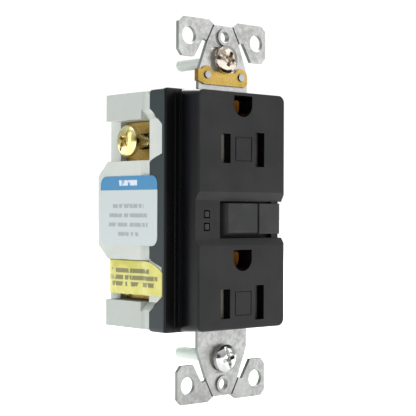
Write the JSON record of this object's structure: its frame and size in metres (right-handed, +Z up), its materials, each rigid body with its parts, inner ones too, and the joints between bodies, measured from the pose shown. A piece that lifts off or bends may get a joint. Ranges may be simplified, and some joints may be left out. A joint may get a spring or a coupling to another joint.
{
  "type": "duplex ground-fault outlet",
  "caption": "Duplex 15 A ground-fault receptacle on a metal strap, with test and reset buttons, shuttered blade slots and side wiring screws.",
  "frame": {"origin": "on the strap's back plane, midway between the cover-plate holes", "axes": "+X right, +Y into the wall box, +Z up"},
  "size_m": [0.0439, 0.038, 0.1058],
  "materials": {
    "charcoal_plastic": "fine matt moulded",
    "button_plastic": "smooth satin",
    "pale_plastic": "fine matt moulded",
    "inner_plastic": "matt",
    "shutter_plastic": "matt",
    "carriage_plastic": "matt",
    "strap_steel": "galvanised",
    "bracket_steel": "plain",
    "spring_steel": "drawn wire",
    "rivet_steel": "bright",
    "bright_screw": "bright plated",
    "brass": "rolled",
    "contact_brass": "rolled, tarnished",
    "screw_brass": "pale plated",
    "screw_silver": "plated",
    "green_screw": "green",
    "contact_silver": "satin",
    "copper": "rolled",
    "ferrite": "coated",
    "board_green": "solder resist",
    "varistor_blue": "dipped",
    "component_black": "moulded",
    "resistor_tan": "coated",
    "capacitor_amber": "gloss",
    "clear_plastic": "clear",
    "lamp_white": "clear",
    "clamp_steel": "pale plated",
    "fibre": "vulcanised fibre",
    "label_paper": "satin",
    "tape_yellow": "film tape"
  },
  "bodies": {
    "housing": {"front_cover": "charcoal_plastic", "rear_housing": "pale_plastic", "middle_frame": "inner_plastic", "strap": "strap_steel", "ground_clip": "brass", "strap_rivets": "rivet_steel", "ground_contacts": "contact_brass", "hot_load_bus": "brass", "neutral_load_bus": "brass", "hot_line_conductor": "brass", "neutral_line_conductor": "brass", "fixed_contacts": "contact_silver", "break_springs": "spring_steel", "solenoid_frame": "bracket_steel", "solenoid_bobbin": "carriage_plastic", "solenoid_coil": "copper", "sense_toroid": "ferrite", "neutral_toroid": "ferrite", "toroid_boot": "carriage_plastic", "circuit_board": "board_green", "varistor": "varistor_blue", "capacitor": "capacitor_amber", "scr": "component_black", "control_chip": "component_black", "resistors": "resistor_tan", "diodes": "component_black", "indicator_leds": "lamp_white", "light_pipe": "clear_plastic", "shutter_trays": "inner_plastic", "upper_shutter_spring": "spring_steel", "lower_shutter_spring": "spring_steel", "reset_spring": "spring_steel", "test_spring": "spring_steel", "test_blade": "copper", "assembly_screws": "bright_screw", "side_label": "label_paper", "terminal_tape": "tape_yellow"},
    "reset_button": {"reset_button": "button_plastic", "reset_stem": "bracket_steel"},
    "test_button": {"test_button": "button_plastic"},
    "upper_shutter": {"upper_shutter": "shutter_plastic"},
    "lower_shutter": {"lower_shutter": "shutter_plastic"},
    "plunger": {"plunger": "bracket_steel"},
    "carriage": {"contact_carriage": "carriage_plastic", "contact_bridges": "copper", "latch_spring": "spring_steel"},
    "latch": {"latch_plate": "bracket_steel"},
    "ground_screw": {"ground_screw": "green_screw"},
    "upper_washer": {"upper_screw_washer": "fibre"},
    "lower_washer": {"lower_screw_washer": "fibre"},
    "upper_mounting_screw": {"upper_mounting_screw": "bright_screw"},
    "lower_mounting_screw": {"lower_mounting_screw": "bright_screw"},
    "hot_line_screw": {"hot_line_screw": "screw_brass"},
    "hot_line_clamp": {"hot_line_clamp": "clamp_steel"},
    "hot_load_screw": {"hot_load_screw": "screw_brass"},
    "hot_load_clamp": {"hot_load_clamp": "clamp_steel"},
    "neutral_line_screw": {"neutral_line_screw": "screw_silver"},
    "neutral_line_clamp": {"neutral_line_clamp": "clamp_steel"},
    "neutral_load_screw": {"neutral_load_screw": "screw_silver"},
    "neutral_load_clamp": {"neutral_load_clamp": "clamp_steel"}
  },
  "joints": [
    {"name": "reset_press", "type": "slide", "parent": "housing", "child": "reset_button", "axis": [0, 1, 0], "range_m": [0, 0.0016], "stiffness_N_per_m": 400, "springref_m": -0.001, "deforming": ["reset_spring"]},
    {"name": "carriage_drop", "type": "slide", "parent": "housing", "child": "carriage", "axis": [0, 1, 0], "range_m": [0, 0.0016], "deforming": ["break_springs"]},
    {"name": "plunger_stroke", "type": "slide", "parent": "housing", "child": "plunger", "axis": [0, 0, 1], "range_m": [0, 0.0018], "stiffness_N_per_m": 300, "springref_m": -0.0005},
    {"name": "latch_slide", "type": "slide", "parent": "carriage", "child": "latch", "axis": [0, 0, 1], "range_m": [0, 0.0018], "deforming": ["latch_spring"]},
    {"name": "test_press", "type": "slide", "parent": "housing", "child": "test_button", "axis": [0, 1, 0], "range_m": [0, 0.0014], "stiffness_N_per_m": 500, "springref_m": -0.001, "deforming": ["test_spring", "test_blade"]},
    {"name": "upper_shutter_slide", "type": "slide", "parent": "housing", "child": "upper_shutter", "axis": [1, 0, 0], "range_m": [0, 0.0042], "stiffness_N_per_m": 60, "springref_m": -0.002, "deforming": ["upper_shutter_spring"]},
    {"name": "lower_shutter_slide", "type": "slide", "parent": "housing", "child": "lower_shutter", "axis": [1, 0, 0], "range_m": [0, 0.0042], "stiffness_N_per_m": 60, "springref_m": -0.002, "deforming": ["lower_shutter_spring"]},
    {"name": "hot_line_screw_turn", "type": "hinge", "parent": "housing", "child": "hot_line_screw", "pos_m": [-0.02, 0.0162, 0.0194], "axis": [1, 0, 0], "range_deg": [0, 900]},
    {"name": "hot_line_clamp_slide", "type": "slide", "parent": "housing", "child": "hot_line_clamp", "axis": [-1, 0, 0], "range_m": [0, 0.00198]},
    {"name": "hot_load_screw_turn", "type": "hinge", "parent": "housing", "child": "hot_load_screw", "pos_m": [-0.02, 0.0162, -0.0194], "axis": [1, 0, 0], "range_deg": [0, 900]},
    {"name": "hot_load_clamp_slide", "type": "slide", "parent": "housing", "child": "hot_load_clamp", "axis": [-1, 0, 0], "range_m": [0, 0.00198]},
    {"name": "neutral_line_screw_turn", "type": "hinge", "parent": "housing", "child": "neutral_line_screw", "pos_m": [0.02, 0.0162, 0.0194], "axis": [-1, 0, 0], "range_deg": [0, 900]},
    {"name": "neutral_line_clamp_slide", "type": "slide", "parent": "housing", "child": "neutral_line_clamp", "axis": [1, 0, 0], "range_m": [0, 0.00198]},
    {"name": "neutral_load_screw_turn", "type": "hinge", "parent": "housing", "child": "neutral_load_screw", "pos_m": [0.02, 0.0162, -0.0194], "axis": [-1, 0, 0], "range_deg": [0, 900]},
    {"name": "neutral_load_clamp_slide", "type": "slide", "parent": "housing", "child": "neutral_load_clamp", "axis": [1, 0, 0], "range_m": [0, 0.00198]},
    {"name": "ground_screw_turn", "type": "hinge", "parent": "housing", "child": "ground_screw", "pos_m": [0.01, 0.005, -0.0376], "axis": [-1, 0, 0], "continuous": true},
    {"name": "upper_screw_shift", "type": "slide", "parent": "housing", "child": "upper_washer", "axis": [1, 0, 0], "range_m": [-0.002, 0.002]},
    {"name": "upper_mounting_screw_turn", "type": "hinge", "parent": "upper_washer", "child": "upper_mounting_screw", "pos_m": [0, 0, 0.04216], "axis": [0, 1, 0], "continuous": true},
    {"name": "lower_screw_shift", "type": "slide", "parent": "housing", "child": "lower_washer", "axis": [1, 0, 0], "range_m": [-0.002, 0.002]},
    {"name": "lower_mounting_screw_turn", "type": "hinge", "parent": "lower_washer", "child": "lower_mounting_screw", "pos_m": [0, 0, -0.04116], "axis": [0, 1, 0], "continuous": true}
  ],
  "couplings": [
    {"joint": "carriage_drop", "follows": "reset_press", "ratio": 1},
    {"joint": "latch_slide", "follows": "plunger_stroke", "ratio": 1},
    {"joint": "hot_line_screw_turn", "follows": "hot_line_clamp_slide", "rad_per_m": 7913.3},
    {"joint": "hot_load_screw_turn", "follows": "hot_load_clamp_slide", "rad_per_m": 7913.3},
    {"joint": "neutral_line_screw_turn", "follows": "neutral_line_clamp_slide", "rad_per_m": 7913.3},
    {"joint": "neutral_load_screw_turn", "follows": "neutral_load_clamp_slide", "rad_per_m": 7913.3}
  ]
}
